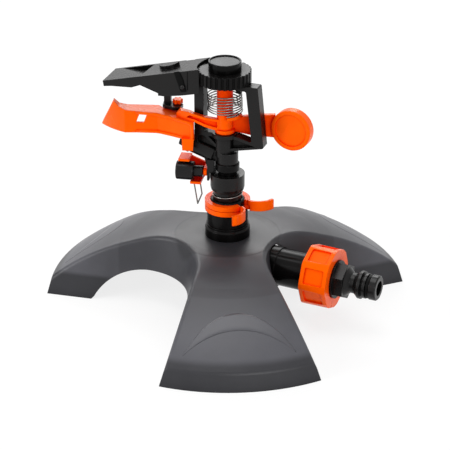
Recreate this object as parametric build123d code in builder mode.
from build123d import *
import math
import os

os.makedirs("parts", exist_ok=True)

# Impulse sprinkler on a three-legged base, in millimetres, +Z up.
# The origin is on the ground, in the middle of the box round the whole footprint.
# Heights are above the ground; those of the riser and the head are for a hub at its drawn height.
# Angles are seen from above, from +X towards +Y.

# Where the assemblies point
leg_angles = [-86.0, 34.0, 154.0]
inlet_angle = -26.0
jet_angle = 160.0

# Inlet: its height sets the hub's height
inlet_height = 30.3
inlet_socket_radius = 12.6
inlet_socket_end = 37.5
inlet_pipe_radius = 11.9
inlet_back = -13.5
inlet_bore = 8.6
thread_radius = 13.2
thread_start = 60.0
thread_end = 69.4
pipe_notch_clearance = 0.5
neck_radius = 11.3
neck_rise = 10.0
neck_bore = 8.5
elbow_ear_thickness = 2.6
cover_wall = 2.4
cover_gap = 0.7

# Base cover: plan sizes follow the reach, heights follow the hub
foot_reach = 117.0
foot_half_angle = 23.9
end_lean = 3.2
end_height = 11.0
hub_top = inlet_height + inlet_socket_radius + cover_wall + cover_gap
hub_radius = 0.23 * foot_reach
shoulder = (0.385 * foot_reach, hub_top - 2.1)
knee = (0.53 * foot_reach, hub_top - 7.0)
slope_middle = (0.786 * foot_reach, hub_top - 20.0)
cover_edge_round = 3.0
arch_mouth = 0.376 * foot_reach
arch_bend = 0.2615 * foot_reach
arch_half_angle = 42.0
arch_draft = 16.0
arch_flank = 1.07 * foot_reach
gate_height = hub_top - 23.5
gate_flat = 0.427 * foot_reach
foot_inner = 0.735 * foot_reach
foot_toe = foot_inner + 2.0
rib_thickness = 2.0
rib_start = 24.0
rib_end = 0.82 * foot_reach
rib_line = [
    (rib_start, hub_top), (rib_start, hub_top - 13.0), (rib_end - 36.0, hub_top - 17.0),
    (rib_end, hub_top - 29.0), (rib_end, hub_top),
]
screw_circle = 19.5
screw_boss_radius = 3.2
screw_boss_bottom = hub_top - 9.0
screw_radius = 1.5
screw_head_radius = 2.8
screw_head_height = 1.8
screw_turns = [60.0, 180.0, 300.0]

# Coupling nut
nut_start = 57.7
nut_end = 75.2
nut_back_radius = 19.3
nut_front_radius = 18.9
nut_flat = 18.3
nut_ring_width = 2.6
nut_windows = 8
nut_window_depth = 1.1
nut_window_share = 0.68
nut_edge_round = 0.8
nut_lip = 2.6
lip_radius = 12.2
thread_clearance = 0.08

# Hose adapter and its ring
washer_thickness = 1.0
flange_radius = 13.1
flange_end = 72.4
collar_radius = 12.12
collar_end = 76.6
hex_end = 83.0
hex_across_flats = 20.4
waist_radius = 6.4
waist_start = 86.0
waist_end = 88.5
barb_radius = 8.8
barb_start = 91.4
barb_end = 93.2
plug_radius = 7.9
plug_shoulder = 94.6
groove_start = 96.4
groove_end = 99.0
groove_radius = 6.2
plug_end = 103.5
plug_chamfer = 0.7
plug_bore = 4.7
after_barb_radius = 7.0
o_ring_section = 1.25

# Riser
collar_outer = 14.2
collar_step = 13.3
hub_drawn = 46.0
collar_step_height = hub_drawn + 5.4
collar_top = collar_step_height + 2.6
socket_outer = 12.8
socket_top = collar_top + 9.3
sleeve_radius = 10.7
sleeve_top = 71.0
sleeve_chamfer = 0.8
nut_bottom = 58.6
spindle_radius = 8.8
spindle_bore = 5.0
spindle_flange_radius = 10.3
spindle_bottom = 56.6
spindle_flange_top = 57.5
spindle_top = 99.0
running_clearance = 0.06
part_gap = 0.3

# Stop rings
stop_outer = 14.3
stop_bottom = 63.6
stop_height = 6.6
stop_split = 0.3
stop_gap_start = -12.0
stop_gap_end = -55.0
grip_width = 2.8
upper_grip = [(13.1, -3.0), (17.0, -4.6), (25.0, -3.6), (28.4, -1.0)]
lower_grip = [(7.4, -10.8), (10.3, -15.0), (8.6, -21.6), (2.8, -25.8)]

# Spring seat above the riser
spring_wire = 0.4
bearing_coil_radius = 9.25
bearing_coil_bottom = 71.7
bearing_coil_top = 85.2
bearing_coil_pitch = 3.4
cup_radius = 10.75
cup_bottom = 77.6
cup_top = 88.0
cup_chamfer = 1.9
cup_lip = 0.4
cup_inner = 10.2
cup_ceiling = 85.8
locknut_radius = 7.5
locknut_bottom = 90.0
locknut_top = 95.3

# Head frame, in the upright plane along the jet: distance from the riser's axis, height
pivot_offset = 1.7
frame_depth = 7.5
frame_top = 148.2
head_neck_radius = 6.7
head_neck_bottom = 95.5
spindle_neck_radius = 5.7
frame_outline = [(20.4, 108.0), (20.4, 148.2), (-20.6, 148.2), (-24.6, 109.1), (-7.8, 105.4), (1.0, 103.0)]
frame_window = [(-13.0, 145.0), (-16.9, 111.8), (-7.0, 114.4), (6.0, 115.2), (14.4, 115.2), (14.4, 145.0)]
frame_corner = 1.0
hub_seat_top = 115.2
hub_seat_radius = 8.0
hub_seat_height = 2.6
gusset_outline = [
    (0.0, 96.0), (0.0, 114.0), (20.4, 114.0), (20.4, 108.0),
    (14.0, 97.0), (12.4, 91.2), (7.9, 91.2), (7.9, 96.0),
]
gusset_depth = 7.0
frame_pockets = [
    [(2.6, 112.6), (11.6, 112.6), (2.6, 104.4)],
    [(14.0, 112.4), (18.4, 112.4), (18.4, 108.6), (12.2, 99.6), (5.2, 104.4)],
    [(-3.0, 112.4), (-7.0, 112.2), (-19.4, 109.4), (-3.0, 106.0)],
]
pocket_depth = 2.6
head_boss_radius = 6.6
head_boss_height = 3.2
pin_boss_radius = 6.0
pin_radius = 2.5
pin_bottom = 108.0
pin_top = 147.0
flap_lug = [(18.0, 141.0), (18.0, 148.2), (21.5, 149.6), (27.0, 148.8), (28.4, 145.0), (26.0, 142.0)]
flap_lug_depth = 6.0
spring_lug = [(-5.0, 146.0), (-8.6, 146.0), (-8.2, 141.6), (-5.4, 141.6)]
spring_lug_front = 9.9

# Nozzle
nozzle_height = 96.7
nozzle_rise = 18.0
barrel_radius = 5.2
barrel_bore = 3.4
barrel_length = 28.0
barrel_ring_radius = 6.0
barrel_ring_length = 3.0
barrel_start = 9.0
tip_length = 4.0
tip_radius = 4.2
tip_plug_length = 8.0
tip_clearance = 0.6
jet_bore = 1.3

# Breaker screw and its bracket, seen from above
screw_place = (-31.0, 19.5)
screw_shank = 1.5
screw_shank_bottom = 107.0
screw_knob_bottom = 126.8
screw_knob_height = 2.6
screw_knob_radius = 3.1
screw_knob_lobes = 6
bracket_link = [
    (-20.0, 9.5), (-23.5, 11.5), (-33.0, 17.6), (-39.6, 19.6), (-39.0, 23.4), (-29.0, 22.0), (-19.0, 15.0),
]
bracket_link_heights = (106.4, 109.9)
bracket_column = [(-39.6, 19.6), (-35.4, 18.4), (-34.8, 21.6), (-39.0, 23.4)]
bracket_column_top = 133.6
bracket_plate = [(-40.4, 18.0), (-33.6, 12.8), (-29.2, 12.8), (-27.6, 18.4), (-34.4, 23.2), (-39.8, 23.4)]
bracket_plate_heights = (124.4, 126.5)

# Swing arm: the sides as east and height, the plans as east and north, from the riser's axis
hub_flange_radius = 6.2
hub_bottom = 115.5
hub_step = 118.0
arm_post_radius = 5.0
arm_post_top = 144.6
plate_depth = (0.0, 2.7)
plate_outline = [
    (2.0, 115.8), (5.0, 115.6), (14.3, 113.2), (29.4, 111.6), (29.4, 126.8), (14.0, 126.2), (2.0, 124.8),
]
disc_angle = -25.6
disc_place = (38.2, -8.0, 119.3)
disc_radius = 13.0
disc_thickness = 6.0
disc_recess_radius = 10.4
disc_recess_depth = 1.0
disc_round = 0.8
seat_radius = 11.0
seat_heights = (126.6, 128.7)
seat_turn = (-84.0, -16.0)
beam_path = [(-3.0, -1.4), (-14.0, -1.4), (-21.0, 0.8), (-27.5, 5.4), (-30.4, 8.2)]
beam_thickness = 3.6
beam_outline = [
    (-3.0, 116.2), (-10.8, 118.8), (-20.0, 122.4), (-32.4, 122.4), (-32.4, 124.6),
    (-29.0, 127.9), (-23.0, 128.2), (-10.8, 125.6), (-3.0, 124.4),
]
beam_recess = [(-6.4, 119.3), (-12.0, 121.1), (-20.4, 124.2), (-25.4, 124.4), (-23.2, 126.5), (-6.4, 123.2)]
beam_recess_depth = 1.9
vane_wall = 1.8
vane_front = [(-21.0, -2.1), (-35.2, 6.9), (-43.2, 10.9), (-63.6, 12.4)]
vane_curl = [(-71.8, 19.2), (-78.9, 28.2)]
vane_back = [
    (-71.4, 21.4), (-67.5, 21.0), (-62.5, 21.6), (-43.0, 23.0), (-38.8, 18.0), (-32.0, 16.0), (-22.6, 3.4),
]
vane_lip = [(-66.0, 15.4), (-43.0, 14.2), (-35.0, 10.6), (-22.6, 2.0)]
vane_top = [(-20.6, 122.6), (-62.5, 125.0), (-67.5, 126.4), (-70.9, 129.4)]
vane_bottom = [(-79.4, 109.7), (-48.0, 110.5), (-20.6, 110.2)]
vane_roof_drop = 1.7
vane_floor_rise = 1.5
window_corners = [(-54.6, 122.9), (-49.8, 122.9), (-52.0, 117.1), (-56.8, 117.1)]
kicker_outline = [(-28.2, 112.0), (-28.0, 104.4), (-21.4, 104.0), (-20.8, 112.0)]
kicker_depth = (-3.4, 0.4)

# Arm spring
arm_coil_radius = 10.4
arm_coil_bottom = 129.5
arm_coil_top = 141.1
arm_coil_turns = 6

# Tension wheel and cap
wheel_gap = 0.4
wheel_thickness = 7.8
wheel_radius = 16.2
wheel_bottom = frame_top + wheel_gap
wheel_top = wheel_bottom + wheel_thickness
wheel_flutes = 30
flute_radius = 0.8
wheel_boss_radius = 4.6
wheel_boss_bottom = 145.2
cap_radius = 10.1
cap_thickness = 5.7
cap_top = wheel_top + cap_thickness
cap_face_radius = 9.0
cap_face_depth = 0.7
cap_round = 0.35

# Jet flap, in its own upright plane
flap_angle = 162.0
flap_half_width = 11.0
flap_wall = 2.0
flap_side = [
    (12.0, 159.2), (77.3, 143.9), (76.7, 140.4), (71.5, 141.1), (58.4, 141.7), (52.8, 143.9),
    (41.1, 140.0), (41.1, 138.5), (37.3, 138.5), (25.9, 140.4), (18.9, 142.0), (12.0, 143.6),
]
flap_hollow = [(10.0, 157.4), (56.0, 146.7), (52.8, 143.0), (44.0, 136.0), (10.0, 136.0)]
flap_root_cut = 17.0
flap_pin_place = (25.5, 145.5)
flap_pin_radius = 1.2
flap_groove = [(30.6, 156.4), (24.4, 157.8), (23.6, 142.4), (26.6, 142.4)]
flap_groove_depth = 0.8
scoop_plan = [(71.7, 9.5), (50.7, 9.7), (52.7, -6.8)]
scoop_depth = 4.6
grip_arc = [(44.6, -2.4), (39.0, 3.0), (33.0, -2.4)]
grip_width = 1.6
grip_rise = 2.4

# Trip: drums on an axle that points outwards, the lever behind them, the wire below
trip_angle = 170.0
trip_height = 87.5
drum_radius = 5.95
drum_span = (21.0, 32.3)
drum_round = 0.8
small_drum_radius = 3.6
small_drum_span = (15.4, 21.0)
axle_radius = 1.4
axle_span = (11.1, 30.0)
axle_plate_span = (11.1, 12.4)
axle_plate_heights = (83.0, 97.0)
axle_block_start = 7.9
axle_block_bottom = 88.4
axle_plate_width = 7.0
lever_hub_radius = 2.6
lever_hub_span = (12.7, 15.1)
lever_back = (6.4, 8.0)
lever_plate = [
    (12.7, 84.9), (12.7, 90.1), (23.6, 94.6), (30.6, 94.6),
    (30.6, 89.6), (24.0, 81.0), (23.4, 79.4), (17.0, 79.4),
]
lever_tab = [(23.8, 94.4), (23.8, 95.9), (30.8, 95.9), (30.8, 94.4)]
lever_tab_front = -2.4
lever_foot = [(16.6, 79.4), (16.6, 81.0), (23.4, 81.0), (23.4, 79.4)]
lever_foot_front = -2.4
wire_radius = 0.45
wire_path = [(21.4, 79.9), (19.1, 65.0), (16.3, 72.0), (17.4, 79.9)]


def heading(angle):
    """Unit vector along the ground at an angle."""
    turn = math.radians(angle)
    return Vector(math.cos(turn), math.sin(turn), 0)


# The riser's axis from the origin: half of what the three feet reach further one way than the other
foot_edges = [heading(angle + side * foot_half_angle) for angle in leg_angles for side in (-1, 1)]
east_reach = max(edge.X for edge in foot_edges)
west_reach = min(edge.X for edge in foot_edges)
north_reach = max(edge.Y for edge in foot_edges)
riser = Vector(-foot_reach * (east_reach + west_reach) / 2, -foot_reach * (north_reach - 1) / 2, 0)
riser_axis = Axis(riser, (0, 0, 1))
up = Vector(0, 0, 1)
# The riser and all above it stand on the hub, and rise or sink with it
stack_foot = riser + up * (hub_top - hub_drawn)


def level(height, angle=0, foot=stack_foot):
    """Level plane on the riser's axis, its x along the angle."""
    return Plane(origin=foot + up * height, x_dir=heading(angle), z_dir=(0, 0, 1))


def upright(angle, back=0, foot=stack_foot):
    """Upright plane on the riser's axis, its x along the angle, moved along its normal."""
    normal = heading(angle - 90)
    return Plane(origin=foot + normal * back, x_dir=heading(angle), z_dir=normal)


def ground_level(height, angle=0):
    """Level plane at a height above the ground."""
    return level(height, angle, riser)


def ground_upright(angle):
    """Upright plane with its heights from the ground."""
    return upright(angle, 0, riser)


def ring_profile(inner, outer, low, high):
    """Half section of a plain ring, in the upright plane."""
    with BuildSketch(upright(0)) as section:
        with Locations((inner, low)):
            Rectangle(outer - inner, high - low, align=(Align.MIN, Align.MIN))
    return section.sketch


# Base cover
def cover_form(inset):
    """The cover's outer form, or the form of its hollow when inset by the wall."""
    reach = foot_reach - inset
    ends = [(reach - end_lean, end_height - inset / 2), (slope_middle[0], slope_middle[1] - inset)]
    knees = [(knee[0], knee[1] - inset), (shoulder[0], shoulder[1] - inset), (hub_radius, hub_top - inset)]
    bend = arch_bend + inset
    tangent = math.radians(arch_half_angle)
    centre = arch_mouth + arch_bend
    touch = (centre - bend * math.cos(tangent), bend * math.sin(tangent))
    flank = (touch[0] + arch_flank * math.sin(tangent), touch[1] + arch_flank * math.cos(tangent))
    with BuildPart() as form:
        with BuildSketch(ground_upright(0)):
            with BuildLine():
                Polyline((0, hub_top - inset), (0, 0), (reach, 0), ends[0])
                ThreePointArc(ends[0], ends[1], knees[0])
                ThreePointArc(knees[0], knees[1], knees[2])
                Line(knees[2], (0, hub_top - inset))
            make_face()
        revolve(axis=riser_axis)
        for leg in leg_angles:
            with BuildSketch(ground_level(0, leg + 60)):
                with BuildLine():
                    ThreePointArc((touch[0], -touch[1]), (centre - bend, 0), touch)
                    Polyline(touch, flank, (flank[0], -flank[1]), (touch[0], -touch[1]))
                make_face()
            extrude(amount=hub_top + end_height, taper=-arch_draft, mode=Mode.SUBTRACT)
    return form.part


with BuildPart() as cavity:
    add(cover_form(cover_wall))
    for leg in leg_angles:
        with BuildSketch(ground_upright(leg)):
            with BuildLine():
                Polyline(*rib_line, close=True)
            make_face()
        extrude(amount=rib_thickness / 2, both=True, mode=Mode.SUBTRACT)
    for turn in screw_turns:
        with BuildSketch(ground_level(screw_boss_bottom, inlet_angle + turn)):
            with Locations((screw_circle, 0)):
                Circle(screw_boss_radius)
                Circle(screw_radius, mode=Mode.SUBTRACT)
        extrude(amount=hub_top, mode=Mode.SUBTRACT)

with BuildPart() as base_shell:
    add(cover_form(0))
    top_edges = [e for e in base_shell.edges() if e.center().Z > end_height - 2]
    sharp = [e for e in top_edges if (e.center() - riser - up * e.center().Z).length > hub_radius + 3]
    fillet(sharp, cover_edge_round)
    add(cavity.part, mode=Mode.SUBTRACT)
    # The walls stand on the ground only at the feet, and rise in a gate between them
    with BuildSketch(ground_upright(0)):
        with BuildLine():
            Polyline((foot_toe, 0), (foot_toe, -1), (0, -1), (0, gate_height), (gate_flat, gate_height))
            TangentArc((gate_flat, gate_height), (foot_inner, foot_toe - foot_inner), tangent=(1, 0))
            Line((foot_inner, foot_toe - foot_inner), (foot_toe, 0))
        make_face()
    revolve(axis=riser_axis, mode=Mode.SUBTRACT)
    with BuildSketch(ground_level(0)):
        Circle(neck_radius + part_gap)
    extrude(amount=hub_top + end_height, mode=Mode.SUBTRACT)
    notch = inlet_socket_radius + pipe_notch_clearance
    with BuildSketch(Plane(origin=riser, x_dir=heading(inlet_angle + 90), z_dir=heading(inlet_angle))):
        with Locations((0, inlet_height)):
            Circle(notch)
        with Locations((0, inlet_height / 2)):
            Rectangle(2 * notch, inlet_height)
    extrude(amount=foot_reach, mode=Mode.SUBTRACT)
base_shell.part.label = "base_shell"
export_step(base_shell.part, "parts/base_shell.step")

# Inlet elbow, its collar and the socket above
inlet_axis = Axis(riser + up * inlet_height, heading(inlet_angle))
with BuildPart() as inlet_elbow:
    with BuildSketch(ground_upright(inlet_angle)):
        with BuildLine():
            Polyline(
                (inlet_back, inlet_height),
                (inlet_back, inlet_height + inlet_socket_radius),
                (inlet_socket_end, inlet_height + inlet_socket_radius),
                (inlet_socket_end, inlet_height + inlet_pipe_radius),
                (thread_start, inlet_height + inlet_pipe_radius),
                (thread_start, inlet_height + thread_radius),
                (thread_end, inlet_height + thread_radius),
                (thread_end, inlet_height),
                close=True,
            )
        make_face()
    revolve(axis=inlet_axis)
    with BuildSketch(ground_level(inlet_height)):
        Circle(neck_radius)
    extrude(amount=hub_top + neck_rise - inlet_height)
    with BuildSketch(ground_level(screw_boss_bottom - elbow_ear_thickness, inlet_angle)):
        Circle(screw_circle)
        for turn in screw_turns:
            with Locations(Vector(screw_circle, 0).rotate(Axis.Z, turn)):
                Circle(screw_boss_radius)
        with PolarLocations(screw_circle, len(screw_turns), screw_turns[0]):
            Circle(screw_radius + part_gap, mode=Mode.SUBTRACT)
    extrude(amount=elbow_ear_thickness)
    with BuildSketch(ground_level(inlet_height)):
        Circle(neck_bore)
    extrude(amount=hub_top, mode=Mode.SUBTRACT)
    with BuildSketch(ground_upright(inlet_angle)):
        with Locations((inlet_back + elbow_ear_thickness, inlet_height)):
            Rectangle(foot_reach, inlet_bore, align=(Align.MIN, Align.MIN))
    revolve(axis=inlet_axis, mode=Mode.SUBTRACT)
inlet_elbow.part.label = "inlet_elbow"
export_step(inlet_elbow.part, "parts/inlet_elbow.step")

with BuildPart() as elbow_screws:
    for turn in screw_turns:
        place = Vector(screw_circle, 0).rotate(Axis.Z, turn)
        screw_head_bottom = screw_boss_bottom - elbow_ear_thickness - screw_head_height
        with BuildSketch(ground_level(screw_head_bottom, inlet_angle)):
            with Locations(place):
                Circle(screw_head_radius)
        extrude(amount=screw_head_height)
        with BuildSketch(ground_level(screw_boss_bottom - elbow_ear_thickness, inlet_angle)):
            with Locations(place):
                Circle(screw_radius)
        extrude(amount=hub_top - cover_wall - screw_boss_bottom)
elbow_screws.part.label = "elbow_screws"
export_step(elbow_screws.part, "parts/elbow_screws.step")

with BuildPart() as riser_collar:
    with BuildSketch(upright(0)):
        with BuildLine():
            Polyline(
                (neck_radius, hub_drawn),
                (collar_outer, hub_drawn),
                (collar_outer, collar_step_height),
                (collar_step, collar_step_height + collar_outer - collar_step),
                (collar_step, collar_top),
                (neck_radius, collar_top),
                close=True,
            )
        make_face()
    revolve(axis=riser_axis)
riser_collar.part.label = "riser_collar"
export_step(riser_collar.part, "parts/riser_collar.step")

with BuildPart() as riser_socket:
    revolve(ring_profile(neck_radius, socket_outer, collar_top, hub_drawn + neck_rise), axis=riser_axis)
    revolve(ring_profile(sleeve_radius, socket_outer, hub_drawn + neck_rise, socket_top), axis=riser_axis)
riser_socket.part.label = "riser_socket"
export_step(riser_socket.part, "parts/riser_socket.step")

with BuildPart() as bearing_nut:
    bearing_bore = spindle_radius + running_clearance
    revolve(ring_profile(bearing_bore, sleeve_radius, nut_bottom, sleeve_top), axis=riser_axis)
    top_rim = bearing_nut.edges().group_by(Axis.Z)[-1].sort_by(SortBy.LENGTH)[-1]
    chamfer(top_rim, sleeve_chamfer)
bearing_nut.part.label = "bearing_nut"
export_step(bearing_nut.part, "parts/bearing_nut.step")

# Coupling nut, washer, hose adapter and sealing ring, round the inlet's axis
with BuildPart() as coupling_nut:
    with BuildSketch(ground_upright(inlet_angle)):
        with BuildLine():
            Polyline(
                (nut_start, inlet_height + thread_radius + thread_clearance),
                (nut_start, inlet_height + nut_back_radius),
                (nut_end, inlet_height + nut_front_radius),
                (nut_end, inlet_height + lip_radius),
                (nut_end - nut_lip, inlet_height + lip_radius),
                (nut_end - nut_lip, inlet_height + thread_radius + thread_clearance),
                close=True,
            )
        make_face()
    revolve(axis=inlet_axis)
    with BuildSketch(Plane(origin=inlet_axis.position, x_dir=(0, 0, 1), z_dir=heading(inlet_angle))):
        RegularPolygon(nut_flat, nut_windows, major_radius=False)
    extrude(amount=foot_reach, mode=Mode.INTERSECT)
    window_length = nut_end - nut_start - 2 * nut_ring_width
    window_width = 2 * nut_front_radius * math.sin(math.pi / nut_windows * nut_window_share)
    for count in range(nut_windows):
        turn = 360 / nut_windows * (count + 0.5)
        outward = Vector(0, 0, 1).rotate(Axis((0, 0, 0), heading(inlet_angle)), turn)
        middle = inlet_axis.position + heading(inlet_angle) * (nut_start + nut_end) / 2
        floor = nut_flat - nut_window_depth
        with BuildSketch(Plane(origin=middle + outward * floor, x_dir=heading(inlet_angle), z_dir=outward)):
            RectangleRounded(window_length, window_width, nut_edge_round)
        extrude(amount=nut_window_depth * 3, mode=Mode.SUBTRACT)
coupling_nut.part.label = "coupling_nut"
export_step(coupling_nut.part, "parts/coupling_nut.step")

with BuildPart() as inlet_washer:
    with BuildSketch(ground_upright(inlet_angle)):
        with Locations((thread_end, inlet_height + inlet_bore)):
            Rectangle(washer_thickness, thread_radius - inlet_bore - part_gap, align=(Align.MIN, Align.MIN))
    revolve(axis=inlet_axis)
inlet_washer.part.label = "inlet_washer"
export_step(inlet_washer.part, "parts/inlet_washer.step")

with BuildPart() as hose_adapter:
    adapter_start = thread_end + washer_thickness
    adapter_steps = [
        (adapter_start, 0),
        (adapter_start, flange_radius),
        (flange_end, flange_radius),
        (flange_end, collar_radius),
        (collar_end, collar_radius),
        (collar_end, hex_across_flats / 2 - 1),
        (hex_end, hex_across_flats / 2 - 1),
        (waist_start, waist_radius),
        (waist_end, waist_radius),
        (barb_start, barb_radius),
        (barb_end, barb_radius),
        (barb_end, after_barb_radius),
        (plug_shoulder, after_barb_radius),
        (plug_shoulder, plug_radius),
        (groove_start, plug_radius),
        (groove_start, groove_radius),
        (groove_end, groove_radius),
        (groove_end, plug_radius),
        (plug_end - plug_chamfer, plug_radius),
        (plug_end, plug_radius - plug_chamfer),
        (plug_end, 0),
    ]
    with BuildSketch(ground_upright(inlet_angle)):
        with BuildLine():
            Polyline(*[(along, inlet_height + out) for along, out in adapter_steps], close=True)
        make_face()
    revolve(axis=inlet_axis)
    hex_start = inlet_axis.position + heading(inlet_angle) * collar_end
    with BuildSketch(Plane(origin=hex_start, x_dir=(0, 0, 1), z_dir=heading(inlet_angle))):
        RegularPolygon(hex_across_flats / 2, 6, major_radius=False)
    extrude(amount=hex_end - collar_end)
    with BuildSketch(Plane(origin=inlet_axis.position, x_dir=(0, 0, 1), z_dir=heading(inlet_angle))):
        Circle(plug_bore)
    extrude(amount=foot_reach, mode=Mode.SUBTRACT)
hose_adapter.part.label = "hose_adapter"
export_step(hose_adapter.part, "parts/hose_adapter.step")

with BuildPart() as adapter_o_ring:
    with BuildSketch(ground_upright(inlet_angle)):
        groove_middle = (groove_start + groove_end) / 2
        with Locations((groove_middle, inlet_height + groove_radius + o_ring_section / 2)):
            RectangleRounded(2 * o_ring_section - 0.3, o_ring_section, o_ring_section / 2 - 0.1)
    revolve(axis=inlet_axis)
adapter_o_ring.part.label = "adapter_o_ring"
export_step(adapter_o_ring.part, "parts/adapter_o_ring.step")


# Stop rings: two open rings, each with one bent grip as high as both
def stop_ring(low, high, grip):
    """Open ring on the bearing sleeve with a grip traced along a path."""
    opening = math.radians((stop_gap_start + stop_gap_end) / 2)
    spread = math.radians((stop_gap_start - stop_gap_end) / 2)
    far = 2 * stop_outer
    turns = [opening - spread, opening + spread]
    corners = [(far * math.cos(turn), far * math.sin(turn)) for turn in turns]
    inner = sleeve_radius + running_clearance
    with BuildPart() as made:
        with BuildSketch(level(low)):
            Circle(stop_outer)
            Circle(inner, mode=Mode.SUBTRACT)
            with BuildLine():
                Polyline((0, 0), *corners, close=True)
            make_face(mode=Mode.SUBTRACT)
        extrude(amount=high - low)
        with BuildSketch(level(stop_bottom)):
            with BuildLine():
                Spline(*grip)
            trace(line_width=grip_width)
            Circle(stop_outer + part_gap, mode=Mode.SUBTRACT)
        extrude(amount=stop_height)
        with BuildSketch(level(low)):
            with BuildLine():
                Spline(*grip)
            trace(line_width=grip_width)
            Circle(inner + part_gap, mode=Mode.SUBTRACT)
            Circle(stop_outer + 2, mode=Mode.INTERSECT)
        extrude(amount=high - low)
    return made


stop_middle = stop_bottom + stop_height / 2
stop_ring_upper = stop_ring(stop_middle + stop_split / 2, stop_bottom + stop_height, upper_grip)
stop_ring_upper.part.label = "stop_ring_upper"
export_step(stop_ring_upper.part, "parts/stop_ring_upper.step")
stop_ring_lower = stop_ring(stop_bottom, stop_middle - stop_split / 2, lower_grip)
stop_ring_lower.part.label = "stop_ring_lower"
export_step(stop_ring_lower.part, "parts/stop_ring_lower.step")

# Spindle, seal, spring cup, locknut
with BuildPart() as spindle:
    revolve(ring_profile(spindle_bore, spindle_radius, spindle_bottom, cup_ceiling), axis=riser_axis)
    flange = ring_profile(spindle_bore, spindle_flange_radius, spindle_bottom, spindle_flange_top)
    revolve(flange, axis=riser_axis)
    revolve(ring_profile(spindle_bore, spindle_neck_radius, cup_ceiling, spindle_top), axis=riser_axis)
spindle.part.label = "spindle"
export_step(spindle.part, "parts/spindle.step")

with BuildPart() as seal_washer:
    seal_top = nut_bottom - part_gap
    seal = ring_profile(spindle_radius, spindle_flange_radius, spindle_flange_top, seal_top)
    revolve(seal, axis=riser_axis)
seal_washer.part.label = "seal_washer"
export_step(seal_washer.part, "parts/seal_washer.step")

with BuildPart() as spring_cup:
    with BuildSketch(upright(0)):
        with BuildLine():
            Polyline(
                (spindle_neck_radius, cup_ceiling),
                (cup_inner, cup_ceiling),
                (cup_inner, cup_bottom + cup_chamfer),
                (cup_inner - cup_lip, cup_bottom),
                (cup_radius - cup_lip, cup_bottom),
                (cup_radius, cup_bottom + cup_chamfer),
                (cup_radius, cup_top),
                (spindle_neck_radius, cup_top),
                close=True,
            )
        make_face()
    revolve(axis=riser_axis)
spring_cup.part.label = "spring_cup"
export_step(spring_cup.part, "parts/spring_cup.step")

with BuildPart() as locknut:
    revolve(ring_profile(spindle_neck_radius, locknut_radius, locknut_bottom, locknut_top), axis=riser_axis)
    chamfer(locknut.edges().filter_by(GeomType.CIRCLE).sort_by(SortBy.LENGTH)[-2:], 0.6)
locknut.part.label = "locknut"
export_step(locknut.part, "parts/locknut.step")

# Head frame with its neck, window, ribs and nozzle barrel
rise = math.radians(nozzle_rise)
jet_line = heading(jet_angle) * math.cos(rise) + up * math.sin(rise)
pivot = stack_foot + heading(jet_angle) * pivot_offset


def jet_plane(distance):
    """Plane across the jet at a distance along it."""
    origin = stack_foot + up * nozzle_height + jet_line * distance
    return Plane(origin=origin, x_dir=heading(jet_angle - 90), z_dir=jet_line)


def round_pivot(height):
    """Level plane on the arm's pivot."""
    return Plane(origin=pivot + up * height, x_dir=(1, 0, 0), z_dir=(0, 0, 1))


def flat(height):
    """Level plane on the riser's axis, its x to the east."""
    return level(height)


def outline(points, corner=0):
    """Face inside a closed polygon, its corners rounded if asked."""
    with BuildSketch() as made:
        with BuildLine():
            Polyline(*points, close=True)
        make_face()
        if corner:
            fillet(made.vertices(), corner)
    return made.sketch


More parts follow.
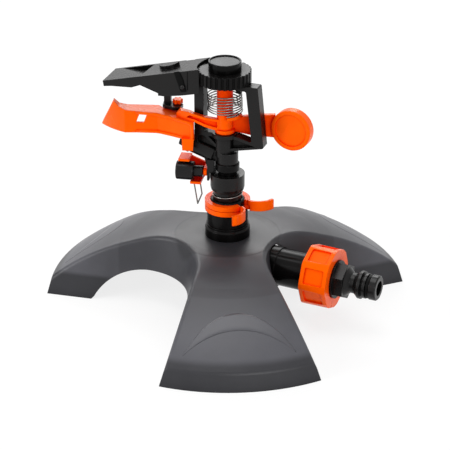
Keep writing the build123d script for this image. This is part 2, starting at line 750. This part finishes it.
with BuildPart() as head_frame:
    with BuildSketch(upright(jet_angle)):
        add(outline(frame_outline, frame_corner))
        add(outline(frame_window, frame_corner), mode=Mode.SUBTRACT)
    extrude(amount=frame_depth / 2, both=True)
    with BuildSketch(upright(jet_angle)):
        add(outline(gusset_outline))
    extrude(amount=gusset_depth / 2, both=True)
    for side in (-1, 1):
        for pocket in frame_pockets:
            with BuildSketch(upright(jet_angle, side * frame_depth / 2)):
                add(outline(pocket))
            extrude(amount=-side * pocket_depth, mode=Mode.SUBTRACT)
    with BuildSketch(upright(jet_angle)):
        add(outline(flap_lug))
    extrude(amount=flap_lug_depth / 2, both=True)
    with BuildSketch(upright(jet_angle)):
        add(outline(spring_lug))
    extrude(amount=spring_lug_front)
    with BuildSketch(round_pivot(frame_top - head_boss_height)):
        Circle(head_boss_radius)
    extrude(amount=head_boss_height)
    with BuildSketch(round_pivot(head_neck_bottom + 4)):
        Circle(pin_boss_radius)
    extrude(amount=hub_seat_top - head_neck_bottom - 4)
    with BuildSketch(round_pivot(hub_seat_top - hub_seat_height)):
        Circle(hub_seat_radius)
    extrude(amount=hub_seat_height)
    with BuildSketch(flat(head_neck_bottom)):
        Circle(head_neck_radius)
    extrude(amount=nozzle_height + 6 - head_neck_bottom)
    with BuildSketch(jet_plane(barrel_start)):
        Circle(barrel_radius)
    extrude(amount=barrel_length - barrel_start)
    with BuildSketch(jet_plane(barrel_length - barrel_ring_length)):
        Circle(barrel_ring_radius)
    extrude(amount=barrel_ring_length)
    # Plate that holds the trip's axle beside the neck
    with BuildSketch(upright(trip_angle - 90, -axle_plate_span[0])):
        with Locations((0, axle_plate_heights[0])):
            axle_plate_height = axle_plate_heights[1] - axle_plate_heights[0]
            Rectangle(axle_plate_width, axle_plate_height, align=(Align.CENTER, Align.MIN))
    extrude(amount=-(axle_plate_span[1] - axle_plate_span[0]))
    with BuildSketch(upright(trip_angle - 90, -axle_block_start)):
        with Locations((0, axle_block_bottom)):
            axle_block_height = axle_plate_heights[1] - axle_block_bottom
            Rectangle(axle_plate_width, axle_block_height, align=(Align.CENTER, Align.MIN))
    extrude(amount=-(axle_plate_span[1] - axle_block_start))
    # Bracket for the breaker screw, round the back of the vane
    with BuildSketch(flat(bracket_link_heights[0])):
        add(outline(bracket_link))
    extrude(amount=bracket_link_heights[1] - bracket_link_heights[0])
    with BuildSketch(flat(bracket_link_heights[0])):
        add(outline(bracket_column))
    extrude(amount=bracket_column_top - bracket_link_heights[0])
    with BuildSketch(flat(bracket_plate_heights[0])):
        add(outline(bracket_plate))
    extrude(amount=bracket_plate_heights[1] - bracket_plate_heights[0])
    with BuildSketch(jet_plane(barrel_length)):
        Circle(tip_radius + tip_clearance)
    extrude(amount=tip_length + tip_clearance, mode=Mode.SUBTRACT)
    # Bores: flap pin, pivot pin, wheel boss, axle, spindle, water way, breaker screw
    with BuildSketch(upright(flap_angle, -frame_depth)):
        with Locations(flap_pin_place):
            Circle(flap_pin_radius)
    extrude(amount=2 * frame_depth, mode=Mode.SUBTRACT)
    with BuildSketch(round_pivot(pin_bottom)):
        Circle(pin_radius)
    extrude(amount=hub_seat_top - pin_bottom + 1, mode=Mode.SUBTRACT)
    with BuildSketch(round_pivot(frame_window[0][1] - 1)):
        Circle(wheel_boss_radius + running_clearance)
    extrude(amount=frame_top - frame_window[0][1] + 2, mode=Mode.SUBTRACT)
    with BuildSketch(upright(trip_angle - 90, 0)):
        with Locations((0, trip_height)):
            Circle(axle_radius)
    extrude(amount=-axle_plate_span[1] - 1, mode=Mode.SUBTRACT)
    with BuildSketch(flat(head_neck_bottom - 1)):
        Circle(spindle_neck_radius)
    extrude(amount=spindle_top + 1 - head_neck_bottom, mode=Mode.SUBTRACT)
    with BuildSketch(flat(head_neck_bottom)):
        Circle(spindle_bore)
    extrude(amount=nozzle_height + 2 - head_neck_bottom, mode=Mode.SUBTRACT)
    with BuildSketch(jet_plane(0)):
        Circle(barrel_bore)
    extrude(amount=barrel_length + 1, mode=Mode.SUBTRACT)
    with BuildSketch(flat(0)):
        with Locations(screw_place):
            Circle(screw_shank + running_clearance)
    extrude(amount=foot_reach + foot_reach, mode=Mode.SUBTRACT)
head_frame.part.label = "head_frame"
export_step(head_frame.part, "parts/head_frame.step")

with BuildPart() as nozzle_tip:
    with BuildSketch(jet_plane(barrel_length)):
        Circle(tip_radius)
    extrude(amount=tip_length, taper=4)
    with BuildSketch(jet_plane(barrel_length - tip_plug_length)):
        Circle(barrel_bore)
    extrude(amount=tip_plug_length)
    with BuildSketch(jet_plane(0)):
        Circle(jet_bore)
    extrude(amount=foot_reach, mode=Mode.SUBTRACT)
nozzle_tip.part.label = "nozzle_tip"
export_step(nozzle_tip.part, "parts/nozzle_tip.step")

with BuildPart() as breaker_screw:
    with BuildSketch(flat(screw_shank_bottom)):
        with Locations(screw_place):
            Circle(screw_shank)
    extrude(amount=screw_knob_bottom - screw_shank_bottom)
    with BuildSketch(flat(screw_knob_bottom)):
        with Locations(screw_place):
            Circle(screw_knob_radius * 0.8)
            with PolarLocations(screw_knob_radius * 0.75, screw_knob_lobes):
                Circle(screw_knob_radius * 0.3)
    extrude(amount=screw_knob_height)
breaker_screw.part.label = "breaker_screw"
export_step(breaker_screw.part, "parts/breaker_screw.step")

with BuildPart() as pivot_pin:
    with BuildSketch(round_pivot(pin_bottom)):
        Circle(pin_radius)
    extrude(amount=pin_top - pin_bottom)
pivot_pin.part.label = "pivot_pin"
export_step(pivot_pin.part, "parts/pivot_pin.step")

with BuildPart() as flap_pin:
    with BuildSketch(upright(flap_angle, -flap_half_width)):
        with Locations(flap_pin_place):
            Circle(flap_pin_radius)
    extrude(amount=2 * flap_half_width)
flap_pin.part.label = "flap_pin"
export_step(flap_pin.part, "parts/flap_pin.step")

# Trip: drums and axle fixed in the head, the lever turns on the axle, the wire hangs from the lever
trip_out = heading(trip_angle)


def across_axle(distance):
    """Plane across the trip's axle at a distance from the riser's axis: x backwards, y up."""
    origin = stack_foot + trip_out * distance + up * trip_height
    return Plane(origin=origin, x_dir=heading(trip_angle - 90), z_dir=trip_out)


with BuildPart() as trip_drum:
    steps = [(axle_radius, axle_span), (small_drum_radius, small_drum_span), (drum_radius, drum_span)]
    for radius, span in steps:
        with BuildSketch(across_axle(span[0])):
            Circle(radius)
        extrude(amount=span[1] - span[0])
    circles = trip_drum.edges().filter_by(GeomType.CIRCLE)
    fillet([e for e in circles if e.radius > (small_drum_radius + drum_radius) / 2], drum_round)
trip_drum.part.label = "trip_drum"
export_step(trip_drum.part, "parts/trip_drum.step")

with BuildPart() as trip_lever:
    with BuildSketch(across_axle(lever_hub_span[0])):
        Circle(lever_hub_radius)
        with Locations((0, -lever_hub_radius)):
            Rectangle(lever_back[1], 2 * lever_hub_radius, align=(Align.MIN, Align.MIN))
        Circle(axle_radius + running_clearance, mode=Mode.SUBTRACT)
    extrude(amount=lever_hub_span[1] - lever_hub_span[0])
    with BuildSketch(upright(trip_angle, lever_back[0])):
        add(outline(lever_plate))
    extrude(amount=lever_back[1] - lever_back[0])
    with BuildSketch(upright(trip_angle, lever_foot_front)):
        add(outline(lever_foot))
    extrude(amount=lever_back[1] - lever_foot_front)
    with BuildSketch(upright(trip_angle, lever_tab_front)):
        add(outline(lever_tab))
    extrude(amount=lever_back[1] - lever_tab_front)
trip_lever.part.label = "trip_lever"
export_step(trip_lever.part, "parts/trip_lever.step")

with BuildPart() as trip_wire:
    wire_plane = upright(trip_angle)
    with BuildLine(wire_plane):
        wire_line = Polyline(*wire_path)
    first = wire_plane.from_local_coords(Vector(*wire_path[0]))
    direction = wire_plane.from_local_coords(Vector(*wire_path[1])) - first
    with BuildSketch(Plane(origin=first, z_dir=direction)):
        Circle(wire_radius)
    sweep(transition=Transition.ROUND)
trip_wire.part.label = "trip_wire"
export_step(trip_wire.part, "parts/trip_wire.step")

# Swing arm: hub and post, plate with its disc, beam, vane
def crossed(plan, side):
    """Solid that has one outline from above and another from the side."""
    with BuildPart() as made:
        with BuildSketch(flat(0)):
            add(plan)
        extrude(amount=2 * foot_reach)
        with BuildSketch(upright(0)):
            add(side)
        extrude(amount=foot_reach, both=True, mode=Mode.INTERSECT)
    return made.part


def shifted(points, drop):
    """Same points, lower or higher."""
    return [(along, height + drop) for along, height in points]


with BuildSketch() as vane_wall_plan:
    with BuildLine():
        Polyline(*vane_front)
        ThreePointArc(vane_front[-1], *vane_curl)
    trace(line_width=vane_wall)

with BuildSketch() as vane_roof_plan:
    with BuildLine():
        Polyline(*vane_front)
        ThreePointArc(vane_front[-1], *vane_curl)
        Polyline(vane_curl[-1], *vane_back, vane_front[0])
    make_face()

with BuildSketch() as vane_lip_plan:
    with BuildLine():
        Polyline(*vane_front)
        Polyline(vane_front[-1], *vane_lip, vane_front[0])
    make_face()

with BuildSketch() as beam_plan:
    with BuildLine():
        Polyline(*beam_path)
    trace(line_width=beam_thickness)

with BuildSketch() as beam_recess_plan:
    with BuildLine():
        Polyline(*[(east, north - beam_thickness / 2) for east, north in beam_path])
    trace(line_width=2 * beam_recess_depth)

vane_roof_side = vane_top + shifted(vane_top, -vane_roof_drop)[::-1]
vane_floor_side = vane_bottom + shifted(vane_bottom, vane_floor_rise)[::-1]

with BuildPart() as swing_arm:
    add(crossed(vane_wall_plan.sketch, outline(vane_top + vane_bottom)))
    add(crossed(vane_roof_plan.sketch, outline(vane_roof_side)))
    add(crossed(vane_lip_plan.sketch, outline(vane_floor_side)))
    with BuildSketch(upright(0)):
        add(outline(window_corners))
    extrude(amount=-foot_reach, mode=Mode.SUBTRACT)
    with BuildSketch(upright(0, -kicker_depth[0])):
        add(outline(kicker_outline))
    extrude(amount=kicker_depth[0] - kicker_depth[1])
    add(crossed(beam_plan.sketch, outline(beam_outline)))
    add(crossed(beam_recess_plan.sketch, outline(beam_recess)), mode=Mode.SUBTRACT)
    with BuildSketch(upright(0, -plate_depth[0])):
        add(outline(plate_outline))
    extrude(amount=plate_depth[0] - plate_depth[1])
    disc_front = stack_foot + Vector(*disc_place)
    disc_plane = Plane(origin=disc_front, x_dir=heading(disc_angle), z_dir=heading(disc_angle - 90))
    with BuildSketch(disc_plane):
        Circle(disc_radius)
    extrude(amount=-disc_thickness)
    disc_rims = [e for e in swing_arm.edges().filter_by(GeomType.CIRCLE) if e.radius > disc_radius - 0.01]
    fillet(disc_rims[:1], disc_round)
    with BuildSketch(disc_plane):
        Circle(disc_recess_radius)
    extrude(amount=-disc_recess_depth, mode=Mode.SUBTRACT)
    with BuildSketch(round_pivot(hub_bottom)):
        Circle(hub_flange_radius)
    extrude(amount=hub_step - hub_bottom)
    with BuildSketch(round_pivot(hub_bottom)):
        Circle(arm_post_radius)
    extrude(amount=arm_post_top - hub_bottom)
    seat = Plane(origin=pivot + up * seat_heights[0], x_dir=heading(seat_turn[0]), z_dir=(0, 0, 1))
    with BuildSketch(seat):
        with BuildLine():
            CenterArc((0, 0), seat_radius, 0, seat_turn[1] - seat_turn[0])
            Line((0, 0), (seat_radius, 0))
            far_turn = math.radians(seat_turn[1] - seat_turn[0])
            Line((0, 0), (seat_radius * math.cos(far_turn), seat_radius * math.sin(far_turn)))
        make_face()
    extrude(amount=seat_heights[1] - seat_heights[0])
    with BuildSketch(round_pivot(hub_bottom - 1)):
        Circle(pin_radius + running_clearance)
    extrude(amount=foot_reach, mode=Mode.SUBTRACT)
swing_arm.part.label = "swing_arm"
export_step(swing_arm.part, "parts/swing_arm.step")


def coil(centre, radius, low, high, turns, wire):
    """Round wire wound up from low to high."""
    with BuildPart() as made:
        with BuildLine(Plane(origin=centre + up * low, x_dir=(1, 0, 0), z_dir=(0, 0, 1))):
            path = Helix(pitch=(high - low) / turns, height=high - low, radius=radius)
        with BuildSketch(Plane(origin=path @ 0, z_dir=path % 0)):
            Circle(wire)
        sweep(path=path, is_frenet=True)
    return made.part


with BuildPart() as arm_spring:
    add(coil(pivot, arm_coil_radius, arm_coil_bottom, arm_coil_top, arm_coil_turns, spring_wire))
arm_spring.part.label = "arm_spring"
export_step(arm_spring.part, "parts/arm_spring.step")

bearing_turns = round((bearing_coil_top - bearing_coil_bottom) / bearing_coil_pitch)
with BuildPart() as bearing_spring:
    coil_heights = (bearing_coil_bottom, bearing_coil_top)
    add(coil(stack_foot, bearing_coil_radius, *coil_heights, bearing_turns, spring_wire))
bearing_spring.part.label = "bearing_spring"
export_step(bearing_spring.part, "parts/bearing_spring.step")

# Tension wheel with its fluted rim, and the cap in it
with BuildPart() as tension_wheel:
    with BuildSketch(round_pivot(wheel_bottom)):
        Circle(wheel_radius)
        with PolarLocations(wheel_radius, wheel_flutes):
            Circle(flute_radius, mode=Mode.SUBTRACT)
    extrude(amount=wheel_top - wheel_bottom)
    with BuildSketch(round_pivot(wheel_boss_bottom)):
        Circle(wheel_boss_radius)
    extrude(amount=wheel_bottom - wheel_boss_bottom)
    with BuildSketch(round_pivot(wheel_boss_bottom)):
        Circle(pin_radius + running_clearance)
    extrude(amount=pin_top + part_gap - wheel_boss_bottom, mode=Mode.SUBTRACT)
tension_wheel.part.label = "tension_wheel"
export_step(tension_wheel.part, "parts/tension_wheel.step")

with BuildPart() as wheel_cap:
    with BuildSketch(round_pivot(wheel_top)):
        Circle(cap_radius)
    extrude(amount=cap_top - wheel_top)
    with BuildSketch(round_pivot(cap_top)):
        Circle(cap_face_radius)
    extrude(amount=-cap_face_depth, mode=Mode.SUBTRACT)
    cap_rims = wheel_cap.edges().group_by(Axis.Z)[-1]
    fillet(cap_rims, (cap_radius - cap_face_radius) * cap_round)
wheel_cap.part.label = "wheel_cap"
export_step(wheel_cap.part, "parts/wheel_cap.step")

# Jet flap: a channel open below, its root cut round the wheel
flap_fall = math.atan2(flap_side[0][1] - flap_side[1][1], flap_side[1][0] - flap_side[0][0])


def flap_top(along):
    """Height of the flap's top at a distance from the riser's axis."""
    return flap_side[0][1] - (along - flap_side[0][0]) * math.tan(flap_fall)


flap_up = (up * math.cos(flap_fall) + heading(flap_angle) * math.sin(flap_fall)).normalized()
flap_down_slope = heading(flap_angle) * math.cos(flap_fall) - up * math.sin(flap_fall)
flap_roof = Plane(origin=stack_foot + up * flap_top(0), x_dir=flap_down_slope, z_dir=flap_up)


def on_roof(along, back, drop=0):
    """Point of the flap's top, or below it: along the flap and to its back."""
    across = heading(flap_angle - 90) * back
    return stack_foot + heading(flap_angle) * along + across + up * (flap_top(along) - drop)


with BuildPart() as scoop:
    with BuildSketch(level(flap_side[4][1], flap_angle)):
        add(outline([(along, -back) for along, back in scoop_plan]))
    extrude(amount=flap_side[0][1] - flap_side[4][1])
    floor_edge = on_roof(*scoop_plan[0]) - on_roof(*scoop_plan[2])
    floor_fall = on_roof(*scoop_plan[1], scoop_depth) - on_roof(*scoop_plan[2])
    floor_up = floor_edge.cross(floor_fall).normalized()
    floor_up = floor_up * math.copysign(1, floor_up.Z)
    split(bisect_by=Plane(origin=on_roof(*scoop_plan[0]), z_dir=floor_up), keep=Keep.TOP)

with BuildPart() as jet_flap:
    with BuildSketch(upright(flap_angle, -flap_half_width)):
        add(outline(flap_side))
    extrude(amount=2 * flap_half_width)
    with BuildSketch(upright(flap_angle, -flap_half_width + flap_wall)):
        add(outline(flap_hollow))
    extrude(amount=2 * (flap_half_width - flap_wall), mode=Mode.SUBTRACT)
    with BuildSketch(round_pivot(0)):
        Circle(flap_root_cut)
    extrude(amount=2 * foot_reach, mode=Mode.SUBTRACT)
    # Three-cornered scoop in the top, and a curved lip for the thumb
    add(scoop.part, mode=Mode.SUBTRACT)
    with BuildSketch(flap_roof):
        with BuildLine():
            ThreePointArc(*grip_arc)
        trace(line_width=grip_width)
    extrude(amount=grip_rise)
    # Groove down the near side, over the pin
    with BuildSketch(upright(flap_angle, flap_half_width)):
        add(outline(flap_groove))
    extrude(amount=-flap_groove_depth, mode=Mode.SUBTRACT)
    with BuildSketch(upright(flap_angle, -flap_half_width)):
        with Locations(flap_pin_place):
            Circle(flap_pin_radius + running_clearance)
    extrude(amount=2 * flap_half_width, mode=Mode.SUBTRACT)
jet_flap.part.label = "jet_flap"
export_step(jet_flap.part, "parts/jet_flap.step")
